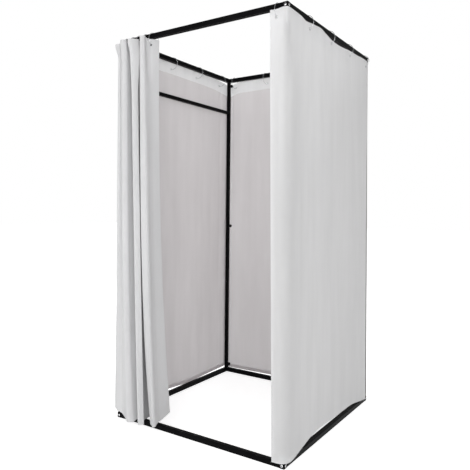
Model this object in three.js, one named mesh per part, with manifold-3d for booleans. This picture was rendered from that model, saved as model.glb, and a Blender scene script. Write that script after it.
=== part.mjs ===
// Portable fitting room: a square-tube frame with curtains on wire rings on all four sides.
// Lengths are in millimetres. The frame is drawn with its front left bottom corner at zero,
// X along the front, Y into the room and Z up. The last group moves it so that the origin
// lies on the floor, under the middle of the whole part.
import * as THREE from 'three';
import { mergeVertices } from 'three/addons/utils/BufferGeometryUtils.js';
import Module from 'manifold-3d';

const wasm = await Module();
wasm.setup();

// Frame
const frameWidth = 1000;
const frameDepth = 1000;
const frameHeight = 2000;
const beamSide = 25;
const postSide = 20;
const tubeWall = 1.5;
const tubeEdgeRadius = 2.5;
const seatGap = 0.3;
const stubLength = 55;
const postJointHeight = 963;
const spigotRoot = 25;
const spigotLength = 60;
const tipChamfer = 1.5;
const endPlugLength = 10;
const barDrop = 224;
const barPinRadius = 4;
const barPinLength = 8;
const barBoreRadius = 2.5;
const overrun = 1;

// Corner bolts
const boltRadius = 3;
const boltReach = 8;
const boltHeadRadius = 6;
const boltHeadHeight = 3.2;
const boltCrownRadius = 4;
const boltRimHeight = 1.4;

// Thumb knobs
const knobHeadRadius = 10.5;
const knobLobeDepth = 1.1;
const knobHeadLength = 12;
const knobHubRadius = 7;
const knobHubLength = 6;
const knobFaceRadius = 6.5;
const knobFaceRecess = 1.5;
const knobBevel = 0.8;
const screwRadius = 3;
const screwReach = 9;
const knobEndDistance = 24;
const knobJointDistance = 27;

// Rings and eyelets
const ringInnerRadius = 34;
const ringWireRadius = 1.25;
const eyeletHoleRadius = 4.5;
const eyeletRimRadius = 6.8;
const eyeletRimHeight = 0.8;

// Curtains
const clothThickness = 2;
const clothClearance = 3;
const clothTopDrop = 24;
const frontTopDrop = 26.5;
const topSag = 10;
const hemClearance = 26;
const hemRise = 36;
const sideWaveDepth = 6;
const leftWaves = 2;
const backWaves = 3;
const rightWaves = 3;
const cornerFoldRadius = 9;
const frontStripWidth = 85;
const stripDrift = 26;
const wallEdgeInset = 5;
const rightEndInset = 24;
const ringsPerSide = 5;
const ringEndInset = 61;
const leftSecondRing = 150;
const leftLastInset = 109;
const backFourthInset = 198;
const backLastInset = 62;
const rightFirstInset = 52;
const rightSecondRing = 208;
const rightLastInset = 51;

// Front curtain, drawn back to the left
const frontFirstRing = 34;
const frontRingPitch = 45;
const bundleTopReach = 46;
const bundleFootReach = 70;
const bundleTopInset = 70;
const bundleFootWidth = 284;
const bundleEdgeInset = 93;
const topCrownHalfWidth = 7.5;
const footCrownHalfWidth = 1.5;
const topTipHalfWidth = 3.5;
const footTipHalfWidth = 7;
const leadMargin = 26;
const leadFootShare = 0.975;
const leadSteadyShare = 0.4;

// How finely round shapes are faceted
const edgeSteps = 2;
const boreSides = 8;
const boltSides = 8;
const knobLobes = 6;
const pointsPerLobe = 4;
const ringSides = 5;
const ringSteps = 16;
const eyeletSides = 8;
const arcSteps = 5;
const wallColumns = 20;
const stripColumns = 2;
const clothRows = 7;
const slopeStepShare = 1e-3;
const quarterTurn = Math.PI / 2;
const fullTurn = 2 * Math.PI;

// Sizes worked out from the ones above
const halfBeam = beamSide / 2;
const halfPost = postSide / 2;
const beamBoreSide = beamSide - 2 * tubeWall;
const postBoreSide = postSide - 2 * tubeWall;
const stubSide = postBoreSide - 2 * seatGap;
const clothOffset = clothClearance + clothThickness / 2;
const clothTopHeight = frameHeight - clothTopDrop;
const frontTopHeight = frameHeight - frontTopDrop;
const barTopHeight = frameHeight - barDrop;
const clothFromAxis = halfBeam + clothOffset;
const ringRadius = ringInnerRadius + ringWireRadius;
const ringFacetRadius = ringInnerRadius * Math.cos(Math.PI / ringSteps) - seatGap;
const ringSeatRadius = ringFacetRadius - tubeEdgeRadius;
const ringDrop = tubeEdgeRadius + Math.sqrt(ringSeatRadius ** 2 - (halfBeam - tubeEdgeRadius) ** 2);
const eyeletAngle = Math.asin(clothFromAxis / ringRadius);
const ringAtCloth = ringDrop + ringRadius * Math.cos(eyeletAngle);
const eyeletHalfLength = clothThickness / 2 + eyeletRimHeight;
const wireInEyelet = ringWireRadius / Math.cos(eyeletAngle) + eyeletHalfLength * Math.tan(eyeletAngle);
const eyeletFlatRadius = eyeletHoleRadius * Math.cos(Math.PI / eyeletSides);
const eyeletDrop = ringAtCloth + eyeletFlatRadius - wireInEyelet - seatGap;
const eyeletHeight = frameHeight - eyeletDrop;
const frontLastRing = frontFirstRing + (ringsPerSide - 1) * frontRingPitch;
const screwHoleRadius = screwRadius + seatGap;
const boltHoleRadius = boltRadius + seatGap;

const black = { color: 0x1b1b1c, roughness: 0.42, metalness: 0.1 };
const plastic = { color: 0x121213, roughness: 0.5, metalness: 0 };
const wire = { color: 0xc9ccd0, roughness: 0.2, metalness: 1 };
const cloth = { color: 0xd8d7d8, roughness: 0.9, metalness: 0 };

function solidOf(geometry) {
  const plain = geometry.clone();
  plain.deleteAttribute('normal');
  plain.deleteAttribute('uv');
  const merged = mergeVertices(plain);
  const vertProperties = new Float32Array(merged.attributes.position.array);
  const triVerts = new Uint32Array(merged.index.array);
  return new wasm.Manifold(new wasm.Mesh({ numProp: 3, vertProperties, triVerts }));
}

function geometryOf(solid) {
  const mesh = solid.getMesh();
  const geometry = new THREE.BufferGeometry();
  geometry.setAttribute('position', new THREE.BufferAttribute(new Float32Array(mesh.vertProperties), 3));
  geometry.setIndex(new THREE.BufferAttribute(new Uint32Array(mesh.triVerts), 1));
  geometry.computeVertexNormals();
  return geometry;
}

function part(name, geometry, look) {
  const mesh = new THREE.Mesh(geometry, new THREE.MeshStandardMaterial(look));
  mesh.name = name;
  return mesh;
}

function roundedSquare(side, radius) {
  const inner = side / 2 - radius;
  const shape = new THREE.Shape();
  shape.absarc(inner, inner, radius, 0, quarterTurn);
  shape.absarc(-inner, inner, radius, quarterTurn, 2 * quarterTurn);
  shape.absarc(-inner, -inner, radius, 2 * quarterTurn, 3 * quarterTurn);
  shape.absarc(inner, -inner, radius, 3 * quarterTurn, 4 * quarterTurn);
  return shape;
}

// A bar with rounded edges, along Z from start to end.
function roundedBar(side, radius, start, end) {
  const options = { depth: end - start, bevelEnabled: false, curveSegments: edgeSteps };
  const geometry = new THREE.ExtrudeGeometry(roundedSquare(side, radius), options);
  geometry.translate(0, 0, start);
  return geometry;
}

// A plain square bar along Z from start to end.
function squareBar(side, start, end) {
  const geometry = new THREE.BoxGeometry(side, side, end - start);
  geometry.translate(0, 0, (start + end) / 2);
  return geometry;
}

// A square bar whose far end is chamfered, so that it slips into a tube.
function taperedStub(side, start, end) {
  const half = side / 2;
  const profile = [
    new THREE.Vector2(0, start),
    new THREE.Vector2(half, start),
    new THREE.Vector2(half, end - tipChamfer),
    new THREE.Vector2(half - tipChamfer, end),
    new THREE.Vector2(0, end),
  ];
  for (const point of profile) point.x *= Math.SQRT2;
  const geometry = new THREE.LatheGeometry(profile, 4);
  geometry.rotateX(quarterTurn);
  geometry.rotateZ(quarterTurn / 2);
  return geometry;
}

// A round cutter whose axis starts at a point and runs along a direction.
function drill(radius, length, sides, from, direction) {
  const geometry = new THREE.CylinderGeometry(radius, radius, length, sides);
  geometry.translate(0, length / 2, 0);
  const turn = new THREE.Quaternion().setFromUnitVectors(new THREE.Vector3(0, 1, 0), direction);
  geometry.applyQuaternion(turn);
  geometry.translate(from.x, from.y, from.z);
  return geometry;
}

// A bolt along Z through a corner block: its domed head outside, its thread in the beam.
function cornerBolt() {
  const face = -halfBeam;
  const end = halfBeam + boltReach;
  const profile = [
    new THREE.Vector2(0, face - boltHeadHeight),
    new THREE.Vector2(boltCrownRadius, face - boltHeadHeight),
    new THREE.Vector2(boltHeadRadius, face - boltRimHeight),
    new THREE.Vector2(boltHeadRadius, face + overrun),
    new THREE.Vector2(boltRadius, face + overrun),
    new THREE.Vector2(boltRadius, end),
    new THREE.Vector2(0, end),
  ];
  const geometry = new THREE.LatheGeometry(profile, boltSides);
  geometry.rotateX(quarterTurn);
  return geometry;
}

// A corner block with its stub for the post, and a bolt for each of the two beams.
function cornerBlock(towardX, towardY, towardZ) {
  const block = solidOf(roundedBar(beamSide, tubeEdgeRadius, -halfBeam, halfBeam));
  const stub = taperedStub(stubSide, 0, halfBeam + stubLength);
  if (towardZ < 0) stub.rotateX(2 * quarterTurn);
  const boltX = cornerBolt();
  boltX.rotateY(towardX * quarterTurn);
  const boltY = cornerBolt();
  boltY.rotateX(-towardY * quarterTurn);
  const screwAt = new THREE.Vector3(0, 0, towardZ * (halfBeam + knobEndDistance));
  const screwHole = drill(screwHoleRadius, halfPost, boreSides, screwAt, new THREE.Vector3(towardX, 0, 0));
  const solid = block.add(solidOf(stub)).add(solidOf(boltX)).add(solidOf(boltY));
  return geometryOf(solid.subtract(solidOf(screwHole)));
}

// A beam along Z, centred, with a plug in each end that takes a bolt.
function beamGeometry(length) {
  const half = length / 2;
  const hollow = half - endPlugLength;
  const bar = solidOf(roundedBar(beamSide, tubeEdgeRadius, -half, half));
  const cavity = solidOf(squareBar(beamBoreSide, -hollow, hollow));
  const from = new THREE.Vector3(0, 0, -half - overrun);
  const bore = drill(boltHoleRadius, length + 2 * overrun, boreSides, from, new THREE.Vector3(0, 0, 1));
  return geometryOf(bar.subtract(cavity).subtract(solidOf(bore)));
}

// The hanging bar along Z, centred, with a pin in each end that sits in a post.
function hangingBarGeometry(length) {
  const half = length / 2;
  const hollow = half - endPlugLength;
  const bar = solidOf(roundedBar(postSide, tubeEdgeRadius, -half, half));
  const cavity = solidOf(squareBar(postBoreSide, -hollow, hollow));
  const pinEnd = half + seatGap + barPinLength;
  const along = new THREE.Vector3(0, 0, 1);
  let solid = bar.subtract(cavity);
  for (const end of [-1, 1]) {
    const root = new THREE.Vector3(0, 0, end * (half - overrun));
    const outwards = along.clone().multiplyScalar(end);
    solid = solid.add(solidOf(drill(barPinRadius, pinEnd - half + overrun, boreSides, root, outwards)));
  }
  const boreFrom = new THREE.Vector3(0, 0, -pinEnd - overrun);
  const bore = drill(barBoreRadius, 2 * pinEnd + 2 * overrun, boreSides, boreFrom, along);
  return geometryOf(solid.subtract(solidOf(bore)));
}

// The lower half of a post, with the spigot that the upper half slides over.
function lowerPostGeometry(inwardX) {
  const start = beamSide + seatGap;
  const inward = new THREE.Vector3(inwardX, 0, 0);
  const bar = solidOf(roundedBar(postSide, tubeEdgeRadius, start, postJointHeight));
  const cavity = solidOf(squareBar(postBoreSide, start - overrun, postJointHeight - spigotRoot));
  const spigot = solidOf(taperedStub(stubSide, postJointHeight - overrun, postJointHeight + spigotLength));
  let solid = bar.subtract(cavity).add(spigot);
  for (const height of [beamSide + knobEndDistance, postJointHeight + knobJointDistance]) {
    const hole = drill(screwHoleRadius, postSide, boreSides, new THREE.Vector3(0, 0, height), inward);
    solid = solid.subtract(solidOf(hole));
  }
  return geometryOf(solid);
}

// The upper half of a post. A left one has a hole for the hanging bar's pin.
function upperPostGeometry(inwardX, inwardY) {
  const start = postJointHeight + seatGap;
  const end = frameHeight - beamSide - seatGap;
  const inward = new THREE.Vector3(inwardX, 0, 0);
  const bar = solidOf(roundedBar(postSide, tubeEdgeRadius, start, end));
  const cavity = solidOf(squareBar(postBoreSide, start - overrun, end + overrun));
  let solid = bar.subtract(cavity);
  for (const height of [postJointHeight + knobJointDistance, frameHeight - beamSide - knobEndDistance]) {
    const hole = drill(screwHoleRadius, postSide, boreSides, new THREE.Vector3(0, 0, height), inward);
    solid = solid.subtract(solidOf(hole));
  }
  if (inwardX > 0) {
    const at = new THREE.Vector3(0, 0, barTopHeight - halfPost);
    const hole = drill(barPinRadius + seatGap, postSide, boreSides, at, new THREE.Vector3(0, inwardY, 0));
    solid = solid.subtract(solidOf(hole));
  }
  return geometryOf(solid);
}

// A lobed knob head with its hub and screw. Its axis is X: the screw points to -X,
// and zero is the face of the post that the hub is turned against.
function knobGeometry() {
  const outline = new THREE.Shape();
  const points = pointsPerLobe * knobLobes;
  const body = knobHeadRadius - knobLobeDepth;
  for (let i = 0; i < points; i++) {
    const angle = (i / points) * fullTurn;
    const radius = body + knobLobeDepth * Math.cos(knobLobes * angle);
    const x = radius * Math.cos(angle);
    const y = radius * Math.sin(angle);
    if (i === 0) outline.moveTo(x, y);
    else outline.lineTo(x, y);
  }
  outline.closePath();
  const head = new THREE.ExtrudeGeometry(outline, {
    depth: knobHeadLength - 2 * knobBevel,
    bevelEnabled: true,
    bevelThickness: knobBevel,
    bevelSize: knobBevel,
    bevelOffset: -knobBevel,
    bevelSegments: 1,
  });
  head.translate(0, 0, knobHubLength + knobBevel);
  const from = new THREE.Vector3(0, 0, -screwReach);
  const along = new THREE.Vector3(0, 0, 1);
  const screw = drill(screwRadius, screwReach + knobHubLength + overrun, boreSides, from, along);
  const hub = new THREE.CylinderGeometry(knobHubRadius, knobHubRadius, knobHubLength, 2 * knobLobes);
  hub.rotateX(quarterTurn);
  hub.translate(0, 0, seatGap + knobHubLength / 2);
  const faceAt = new THREE.Vector3(0, 0, knobHubLength + knobHeadLength - knobFaceRecess);
  const recess = drill(knobFaceRadius, knobFaceRecess + overrun, 2 * knobLobes, faceAt, along);
  const solid = solidOf(head).add(solidOf(screw)).add(solidOf(hub)).subtract(solidOf(recess));
  const geometry = geometryOf(solid);
  geometry.rotateY(quarterTurn);
  return geometry;
}

// A ring of round wire in the plane square to the beam it hangs on. It has a facet corner
// at the eyelet, and its middle is zero. Outward is the side of the beam that the cloth is on.
function ringGeometry() {
  const geometry = new THREE.TorusGeometry(ringRadius, ringWireRadius, ringSides, ringSteps);
  geometry.deleteAttribute('normal');
  geometry.deleteAttribute('uv');
  const merged = mergeVertices(geometry);
  merged.rotateZ(-quarterTurn + eyeletAngle);
  return merged;
}

// A sheet of even thickness over a grid of points, closed at its four edges.
function sheetGeometry(point, columns, rows) {
  const positions = [];
  const step = slopeStepShare;
  for (const side of [1, -1]) {
    for (let j = 0; j <= rows; j++) {
      for (let i = 0; i <= columns; i++) {
        const here = point(i, j / rows);
        const across = point(Math.min(i + 1, columns), j / rows).sub(point(Math.max(i - 1, 0), j / rows));
        const down = point(i, Math.min(j / rows + step, 1)).sub(point(i, Math.max(j / rows - step, 0)));
        const normal = across.cross(down).normalize();
        here.addScaledVector(normal, (side * clothThickness) / 2);
        positions.push(here.x, here.y, here.z);
      }
    }
  }
  const width = columns + 1;
  const back = width * (rows + 1);
  const faces = [];
  const quad = (a, b, c, d) => faces.push(a, b, c, a, c, d);
  for (let j = 0; j < rows; j++) {
    for (let i = 0; i < columns; i++) {
      const a = j * width + i;
      quad(a, a + 1, a + width + 1, a + width);
      quad(back + a, back + a + width, back + a + width + 1, back + a + 1);
    }
  }
  for (let i = 0; i < columns; i++) {
    const foot = rows * width + i;
    quad(i, back + i, back + i + 1, i + 1);
    quad(foot, foot + 1, back + foot + 1, back + foot);
  }
  for (let j = 0; j < rows; j++) {
    const first = j * width;
    const last = first + columns;
    quad(first, first + width, back + first + width, back + first);
    quad(last, back + last, back + last + width, last + width);
  }
  const geometry = new THREE.BufferGeometry();
  geometry.setAttribute('position', new THREE.BufferAttribute(new Float32Array(positions), 3));
  geometry.setIndex(faces);
  return geometry;
}

// Eyelets in a sheet: each is a raised rim with a hole through rim and cloth.
function withEyelets(geometry, places) {
  let solid = solidOf(geometry);
  if (solid.volume() < 0) throw new Error('the sheet faces inwards');
  const rimLength = 2 * eyeletHalfLength;
  for (const { at, normal } of places) {
    const from = at.clone().addScaledVector(normal, -rimLength / 2);
    solid = solid.add(solidOf(drill(eyeletRimRadius, rimLength, eyeletSides, from, normal)));
    const start = at.clone().addScaledVector(normal, -rimLength);
    solid = solid.subtract(solidOf(drill(eyeletHoleRadius, 2 * rimLength, eyeletSides, start, normal)));
  }
  return geometryOf(solid);
}

// How far a hanging edge dips between rings, from 0 at a ring to topSag midway.
function sagBetweenRings(distance, pitch) {
  return (topSag * (1 - Math.cos((fullTurn * distance) / pitch))) / 2;
}

// Soft waves down a wall: none at the top, deepest at the hem, always away from the frame.
function wallWave(share, drop, waves) {
  const shape = (1 - Math.cos(fullTurn * waves * share)) / 2;
  return sideWaveDepth * shape * Math.sin(quarterTurn * drop);
}

function mix(from, to, share) {
  return from + (to - from) * share;
}

// How far a stretch of cloth has drifted on its way down: evenly at first, then faster.
function driftShare(drop, steadyShare) {
  return mix(drop ** 4, drop, steadyShare);
}

// A flat wall of cloth outside one side of the frame. Its top edge dips between its rings, which
// hang evenly from the second to the fourth. place turns a distance along the side and a distance
// out from the frame into a point.
function wallCurtain(length, rings, waves, place) {
  const start = wallEdgeInset;
  const end = length - wallEdgeInset;
  const point = (column, drop) => {
    const share = column / wallColumns;
    const along = start + share * (end - start);
    const top = clothTopHeight - sagBetweenRings(along - rings[1], rings[2] - rings[1]);
    const spot = place(along, clothOffset + wallWave(share, drop, waves));
    return new THREE.Vector3(spot[0], spot[1], mix(top, hemClearance, drop));
  };
  const inside = place(0, 0);
  const outside = place(0, 1);
  const normal = new THREE.Vector3(outside[0] - inside[0], outside[1] - inside[1], 0);
  const eyelets = rings.map((along) => {
    const spot = place(along, clothOffset);
    return { at: new THREE.Vector3(spot[0], spot[1], eyeletHeight), normal };
  });
  return withEyelets(sheetGeometry(point, wallColumns, clothRows), eyelets);
}

// The right curtain: a strip across the front, a fold round the corner post, then the side.
function rightCurtain(rings) {
  const plane = frameWidth + clothOffset;
  const sideStart = cornerFoldRadius - clothOffset;
  const sideLength = frameDepth - rightEndInset - sideStart;
  const columns = stripColumns + arcSteps + wallColumns;
  const point = (column, drop) => {
    const edge = frameWidth - frontStripWidth + stripDrift * drop;
    if (column < stripColumns) {
      const x = edge + (column / stripColumns) * (plane - cornerFoldRadius - edge);
      return new THREE.Vector3(x, -clothOffset, mix(clothTopHeight, hemClearance, drop));
    }
    const turned = Math.min((column - stripColumns) / arcSteps, 1) * quarterTurn;
    const share = Math.max(column - stripColumns - arcSteps, 0) / wallColumns;
    const x = plane - cornerFoldRadius + cornerFoldRadius * Math.sin(turned);
    const y = -clothOffset + cornerFoldRadius - cornerFoldRadius * Math.cos(turned) + share * sideLength;
    const top = clothTopHeight - (share > 0 ? sagBetweenRings(y - rings[1], rings[2] - rings[1]) : 0);
    const hem = hemClearance + hemRise * Math.sin(Math.PI * share);
    return new THREE.Vector3(x + wallWave(share, drop, rightWaves), y, mix(top, hem, drop));
  };
  const eyelets = rings.map((along, index) => {
    const front = index === 0;
    const at = front
      ? new THREE.Vector3(along, -clothOffset, eyeletHeight)
      : new THREE.Vector3(plane, along, eyeletHeight);
    return { at, normal: front ? new THREE.Vector3(0, -1, 0) : new THREE.Vector3(1, 0, 0) };
  });
  return withEyelets(sheetGeometry(point, columns, clothRows), eyelets);
}

// The front curtain's path from its far edge to its leading edge. Each row is a stretch of
// cloth: at the top its place along the front is a share of the way from ring to ring and its
// reach a share of the top reach or inset; at the foot both are shares of the foot's sizes.
// points is 1 for an edge, 2 for a flat crown at a ring and 3 for the round tip of a fold,
// and steadyShare says how much of its drift to the foot comes evenly on the way down.
const bundleShares = [
  { points: 1, ring: 0, topAlong: -1.25, topOut: 0.43, footAlong: -0.075, footOut: -0.4, steadyShare: 1 },
  { points: 1, ring: 0, topAlong: -0.7, topOut: 0.55, footAlong: -0.02, footOut: 0.17, steadyShare: 1 },
  { points: 2, ring: 0, topAlong: 0, topOut: 0, footAlong: 0.155, footOut: 0.2, steadyShare: 1 },
  { points: 3, ring: 0, topAlong: 0.55, topOut: 0.95, footAlong: 0.54, footOut: 1, steadyShare: 1 },
  { points: 3, ring: 0, topAlong: 0.76, topOut: -1, footAlong: 0.585, footOut: -0.34, steadyShare: 0.9 },
  { points: 2, ring: 1, topAlong: 0, topOut: 0, footAlong: 0.625, footOut: 0.06, steadyShare: 0.9 },
  { points: 3, ring: 1, topAlong: 0.7, topOut: 1, footAlong: 0.725, footOut: 0.93, steadyShare: 0.9 },
  { points: 3, ring: 1, topAlong: 0.6, topOut: -1, footAlong: 0.72, footOut: -0.92, steadyShare: 0.6 },
  { points: 2, ring: 2, topAlong: 0, topOut: 0, footAlong: 0.755, footOut: -0.5, steadyShare: 0.7 },
  { points: 3, ring: 2, topAlong: 0.27, topOut: -1, footAlong: 0.765, footOut: -1.05, steadyShare: 0.5 },
  { points: 3, ring: 2, topAlong: 0.5, topOut: 0.02, footAlong: 0.815, footOut: -0.45, steadyShare: 0.6 },
  { points: 3, ring: 2, topAlong: 0.73, topOut: -1, footAlong: 0.865, footOut: -1.05, steadyShare: 0.5 },
  { points: 2, ring: 3, topAlong: 0, topOut: 0, footAlong: 0.89, footOut: -0.55, steadyShare: 0.5 },
  { points: 1, ring: 3, topAlong: 0.1, topOut: 0.85, footAlong: 0.77, footOut: 0.15, steadyShare: 0.3 },
  { points: 3, ring: 3, topAlong: 0.5, topOut: 1, footAlong: 0.985, footOut: 0.66, steadyShare: 0.8 },
  { points: 1, ring: 3, topAlong: 0.76, topOut: 0.55, footAlong: 1, footOut: 0.2, steadyShare: 0.8 },
  { points: 2, ring: 4, topAlong: 0, topOut: 0, footAlong: 1.005, footOut: -0.02, steadyShare: 0.8 },
];

function frontCurtain(rings) {
  const stations = bundleShares.flatMap((row) => (
    Array.from({ length: row.points }, (_, k) => ({ ...row, k }))
  ));
  const columns = stations.length;
  const point = (column, drop) => {
    const height = mix(frontTopHeight, hemClearance, drop);
    if (column === columns) {
      const x = mix(frontLastRing + leadMargin, leadFootShare * bundleFootWidth, drop ** 2);
      const y = mix(leadMargin, bundleEdgeInset, driftShare(drop, leadSteadyShare));
      return new THREE.Vector3(x, y, height);
    }
    const { points, k, ring, topAlong, topOut, footAlong, footOut, steadyShare } = stations[column];
    const drift = driftShare(drop, steadyShare);
    const topReach = topOut > 0 ? topOut * bundleTopReach : topOut * bundleTopInset;
    const halfWidth = points === 2
      ? mix(topCrownHalfWidth, footCrownHalfWidth, drop)
      : mix(topTipHalfWidth, footTipHalfWidth, drop);
    const side = points === 1 ? 0 : (2 * k) / (points - 1) - 1;
    const tipBack = points === 3 && side !== 0 ? halfWidth * Math.sign(topOut) : 0;
    const topX = rings[ring] + topAlong * frontRingPitch;
    const x = mix(topX, footAlong * bundleFootWidth, drift) + side * halfWidth;
    const y = mix(-clothOffset - topReach, -footOut * bundleFootReach, drift) + tipBack;
    return new THREE.Vector3(x, y, height);
  };
  const eyelets = rings.map((along) => {
    const at = new THREE.Vector3(along, -clothOffset, eyeletHeight);
    return { at, normal: new THREE.Vector3(0, -1, 0) };
  });
  return withEyelets(sheetGeometry(point, columns, clothRows), eyelets);
}

const room = new THREE.Group();

const sides = { left: 0, right: frameWidth };
const rows = { front: 0, back: frameDepth };
const levels = { bottom: 0, top: frameHeight };

function addPosts() {
  for (const [row, rowAt] of Object.entries(rows)) {
    const towardY = row === 'front' ? 1 : -1;
    for (const [side, sideAt] of Object.entries(sides)) {
      const towardX = side === 'left' ? 1 : -1;
      const x = sideAt + towardX * halfBeam;
      const y = rowAt + towardY * halfBeam;
      for (const [level, levelAt] of Object.entries(levels)) {
        const towardZ = level === 'bottom' ? 1 : -1;
        const block = part(`corner_${row}_${side}_${level}`, cornerBlock(towardX, towardY, towardZ), black);
        block.position.set(x, y, levelAt + towardZ * halfBeam);
        room.add(block);
      }
      const lower = part(`post_${row}_${side}_lower`, lowerPostGeometry(towardX), black);
      lower.position.set(x, y, 0);
      const upper = part(`post_${row}_${side}_upper`, upperPostGeometry(towardX, towardY), black);
      upper.position.set(x, y, 0);
      room.add(lower, upper);
      addKnobs(row, side, x + towardX * halfPost, y, towardX);
    }
  }
}

function addBeams() {
  const across = frameWidth - 2 * beamSide - 2 * seatGap;
  const deep = frameDepth - 2 * beamSide - 2 * seatGap;
  for (const [level, levelAt] of Object.entries(levels)) {
    const z = level === 'bottom' ? halfBeam : levelAt - halfBeam;
    for (const [row, rowAt] of Object.entries(rows)) {
      const beam = part(`beam_${row}_${level}`, beamGeometry(across), black);
      beam.rotation.y = quarterTurn;
      beam.position.set(frameWidth / 2, row === 'front' ? halfBeam : rowAt - halfBeam, z);
      room.add(beam);
    }
    for (const [side, sideAt] of Object.entries(sides)) {
      const beam = part(`beam_${side}_${level}`, beamGeometry(deep), black);
      beam.rotation.x = -quarterTurn;
      beam.position.set(side === 'left' ? halfBeam : sideAt - halfBeam, frameDepth / 2, z);
      room.add(beam);
    }
  }
  const betweenPosts = frameDepth - 2 * (halfBeam + halfPost) - 2 * seatGap;
  const bar = part('hanging_bar', hangingBarGeometry(betweenPosts), black);
  bar.rotation.x = -quarterTurn;
  bar.position.set(halfBeam, frameDepth / 2, barTopHeight - halfPost);
  room.add(bar);
}

function addKnobs(row, side, face, y, towardX) {
  const heights = {
    bottom: beamSide + knobEndDistance,
    middle: postJointHeight + knobJointDistance,
    top: frameHeight - beamSide - knobEndDistance,
  };
  for (const [level, height] of Object.entries(heights)) {
    const knob = part(`knob_${row}_${side}_${level}`, knobGeometry(), plastic);
    if (towardX < 0) knob.rotation.z = Math.PI;
    knob.position.set(face, y, height);
    room.add(knob);
  }
}

// Rings on a beam: turn stands the ring square to the beam with the eyelet side outwards.
function addRing(name, x, y, turn) {
  const geometry = ringGeometry();
  geometry.rotateX(quarterTurn);
  geometry.rotateZ(turn);
  const ring = part(name, geometry, wire);
  ring.position.set(x, y, frameHeight - ringDrop);
  room.add(ring);
}

// The places of rings that hang evenly from a first to a last one.
function ringPlaces(first, last, count) {
  return Array.from({ length: count }, (_, i) => first + (i / (count - 1)) * (last - first));
}

function addCurtains() {
  const even = ringsPerSide - 1;
  const front = ringPlaces(frontFirstRing, frontLastRing, ringsPerSide);
  const left = ringPlaces(leftSecondRing, frameDepth - leftLastInset, even);
  const back = [...ringPlaces(ringEndInset, frameWidth - backFourthInset, even), frameWidth - backLastInset];
  const rightFirstRing = frameWidth - rightFirstInset;
  const rightSide = ringPlaces(rightSecondRing, frameDepth - rightLastInset, even);

  const leftPlace = (along, out) => [-out, along];
  const leftCurtain = wallCurtain(frameDepth, [ringEndInset, ...left], leftWaves, leftPlace);
  const backPlace = (along, out) => [frameWidth - along, frameDepth + out];
  const backEyelets = back.map((along) => frameWidth - along);
  const backCurtain = wallCurtain(frameWidth, backEyelets, backWaves, backPlace);
  room.add(part('curtain_front', frontCurtain(front), cloth));
  room.add(part('curtain_left', leftCurtain, cloth));
  room.add(part('curtain_back', backCurtain, cloth));
  room.add(part('curtain_right', rightCurtain([rightFirstRing, ...rightSide]), cloth));

  front.forEach((x, i) => addRing(`ring_front_${i + 1}`, x, halfBeam, -quarterTurn));
  left.forEach((y, i) => addRing(`ring_left_${i + 2}`, halfBeam, y, 2 * quarterTurn));
  back.forEach((x, i) => addRing(`ring_back_${i + 1}`, x, frameDepth - halfBeam, quarterTurn));
  addRing('ring_right_1', rightFirstRing, halfBeam, -quarterTurn);
  rightSide.forEach((y, i) => addRing(`ring_right_${i + 2}`, frameWidth - halfBeam, y, 0));
}

addPosts();
addBeams();
addCurtains();

// The whole part reaches furthest with its rings at the back and its folds at the front.
const backReach = ringRadius + ringWireRadius - halfBeam;
const frontReach = bundleFootReach + clothThickness / 2;
room.position.set(-frameWidth / 2, (frontReach - backReach - frameDepth) / 2, 0);

const group = new THREE.Group();
group.add(room);
export default group;
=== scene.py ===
import bpy
import numpy as np
from bpy.props import FloatProperty, FloatVectorProperty, IntProperty, PointerProperty
from bpy.types import Operator, Panel, PropertyGroup
from mathutils import Matrix, Vector


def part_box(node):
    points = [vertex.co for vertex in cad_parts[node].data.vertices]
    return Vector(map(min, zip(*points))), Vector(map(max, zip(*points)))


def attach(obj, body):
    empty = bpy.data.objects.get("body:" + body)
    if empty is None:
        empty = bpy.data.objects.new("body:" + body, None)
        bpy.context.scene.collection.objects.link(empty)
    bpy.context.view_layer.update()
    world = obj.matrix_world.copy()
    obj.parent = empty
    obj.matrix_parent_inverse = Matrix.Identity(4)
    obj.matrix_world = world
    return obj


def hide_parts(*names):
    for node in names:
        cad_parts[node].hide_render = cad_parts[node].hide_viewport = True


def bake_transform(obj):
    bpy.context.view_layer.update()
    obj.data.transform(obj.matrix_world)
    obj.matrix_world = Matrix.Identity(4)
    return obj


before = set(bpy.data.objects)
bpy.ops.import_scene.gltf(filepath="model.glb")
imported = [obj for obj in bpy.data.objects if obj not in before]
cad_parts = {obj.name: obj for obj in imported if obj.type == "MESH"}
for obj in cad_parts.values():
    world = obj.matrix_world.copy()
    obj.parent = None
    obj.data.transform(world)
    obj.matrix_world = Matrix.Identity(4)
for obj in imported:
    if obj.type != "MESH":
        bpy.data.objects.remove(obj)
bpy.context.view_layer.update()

bl_info = {
    "name": "Portable Fitting Room",
    "version": (1, 0, 0),
    "blender": (4, 5, 0),
    "location": "3D View > Sidebar > Fitting Room",
    "description": "Dresses the square-tube fitting room: coats, curtains, rings, eyelets, knobs and bolts",
    "category": "Object",
}


def middle_of(name):
    """The middle of a CAD node's box."""
    low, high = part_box(name)
    return (np.array(low) + np.array(high)) / 2


# The frame's own planes, in metres. A place is first worked out in room coordinates: x along the front
# from the left, y into the room from the front, z up.
MM = 0.001
UP = (0, 0, 1.0)
OUTWARD = {"front": (0, -1, 0), "left": (-1, 0, 0), "back": (0, 1, 0), "right": (1, 0, 0)}
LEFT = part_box("beam_left_top")[0].x
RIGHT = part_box("beam_right_top")[1].x
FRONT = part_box("beam_front_top")[0].y
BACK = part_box("beam_back_top")[1].y
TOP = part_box("beam_front_top")[1].z
WIDTH = RIGHT - LEFT
DEPTH = BACK - FRONT
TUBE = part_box("beam_front_bottom")[1].z
POST_FACE = {"left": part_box("post_front_left_lower")[1].x, "right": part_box("post_front_right_lower")[0].x}

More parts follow.
